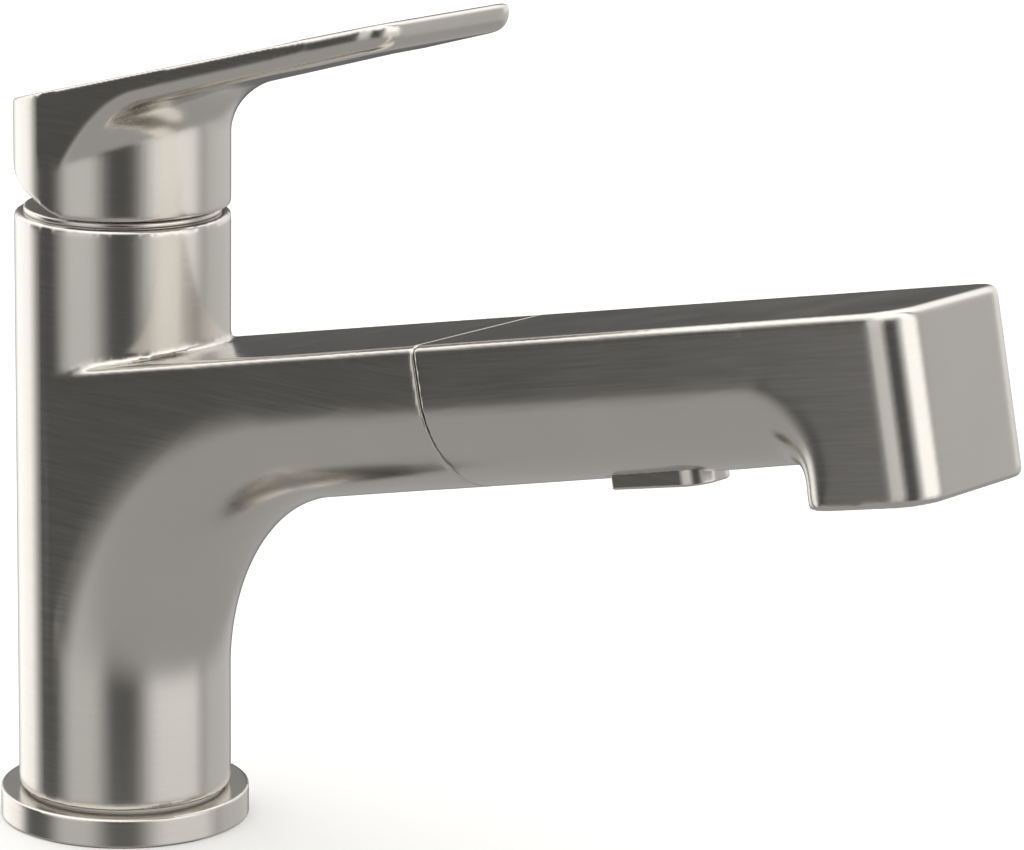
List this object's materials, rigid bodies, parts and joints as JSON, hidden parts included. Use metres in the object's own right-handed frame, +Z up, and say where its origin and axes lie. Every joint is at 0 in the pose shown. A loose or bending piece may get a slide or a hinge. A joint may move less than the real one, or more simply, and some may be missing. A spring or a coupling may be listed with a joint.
{
  "type": "pull-out kitchen faucet",
  "caption": "Deck-mounted single-lever kitchen faucet with a round body, a flat-topped rising arm and a pull-out spray head with a press button under it.",
  "frame": {"origin": "on the body's axis at deck level, the foot flange's lower face", "axes": "+Z up along the body, the arm points along +X, +Y across"},
  "size_m": [0.2428, 0.055, 0.2351],
  "materials": {
    "nickel": "warm satin brushed nickel",
    "brass": "turned",
    "zinc": "zinc plated",
    "steel": "bright turned",
    "rubber_black": "matt",
    "nozzle_rubber": "soft grey",
    "white_plastic": "moulded",
    "dark_plastic": "moulded",
    "trim_grey": "fine satin",
    "plated_plastic": "satin nickel plating over plastic",
    "ceramic_white": "lapped"
  },
  "bodies": {
    "base": {"base_flange": "nickel", "deck_seal": "rubber_black", "mounting_shank": "brass", "lower_swivel_bush": "white_plastic", "upper_swivel_bush": "white_plastic", "glide_ring": "white_plastic", "under_deck_gasket": "rubber_black", "clamp_washer": "zinc", "mounting_nut": "zinc", "jack_screws": "steel"},
    "spout": {"body_casting": "nickel", "swivel_stop_screw": "steel", "cartridge_base": "white_plastic", "cartridge_seals": "rubber_black", "fixed_disc": "ceramic_white", "cartridge_housing": "white_plastic", "cartridge_nut": "brass", "cap_ring": "nickel", "dock_sleeve": "dark_plastic"},
    "rotor": {"cartridge_rotor": "dark_plastic", "stem_pin": "steel"},
    "lever": {"cartridge_stem": "steel", "lever_handle": "nickel", "handle_set_screw": "steel", "set_screw_plug": "trim_grey"},
    "disc": {"moving_disc": "ceramic_white", "disc_carrier": "dark_plastic"},
    "spray_head": {"head_shell": "nickel", "head_waterway": "dark_plastic", "dock_o_ring": "rubber_black", "hose_connector": "brass", "connector_washer": "rubber_black", "check_valve": "white_plastic", "waterway_screws": "steel", "toggle_pin": "steel", "spray_face": "trim_grey", "spray_nozzles": "nozzle_rubber", "aerator_housing": "dark_plastic", "aerator_seal": "rubber_black", "aerator_screen": "steel"},
    "toggle": {"spray_toggle": "plated_plastic"},
    "plunger": {"diverter_plunger": "dark_plastic", "plunger_o_ring": "rubber_black"}
  },
  "joints": [
    {"name": "spout_swivel", "type": "hinge", "parent": "base", "child": "spout", "pos_m": [0, 0, 0.02], "axis": [0, 0, 1], "range_deg": [-60, 60]},
    {"name": "handle_turn", "type": "hinge", "parent": "spout", "child": "rotor", "pos_m": [0, 0, 0.128], "axis": [0, 0, 1], "range_deg": [-50, 50]},
    {"name": "lever_lift", "type": "hinge", "parent": "rotor", "child": "lever", "pos_m": [0, 0, 0.128], "axis": [0, -1, 0], "range_deg": [0, 21]},
    {"name": "disc_slide", "type": "slide", "parent": "rotor", "child": "disc", "axis": [1, 0, 0], "range_m": [0, 0.00415]},
    {"name": "head_pull", "type": "slide", "parent": "spout", "child": "spray_head", "axis": [0.9789, 0, 0.2042], "range_m": [0, 0.45]},
    {"name": "button_press", "type": "hinge", "parent": "spray_head", "child": "toggle", "pos_m": [0.13642, 0, 0.09996], "axis": [0, -1, 0], "range_deg": [0, 4.5], "stiffness_Nm_per_rad": 0.001, "springref_deg": -28.65},
    {"name": "plunger_lift", "type": "slide", "parent": "spray_head", "child": "plunger", "axis": [-0.2042, 0, 0.9789], "range_m": [0, 0.00115]}
  ],
  "couplings": [
    {"joint": "disc_slide", "follows": "lever_lift", "m_per_rad": 0.0112},
    {"joint": "button_press", "follows": "plunger_lift", "rad_per_m": 68.29}
  ]
}
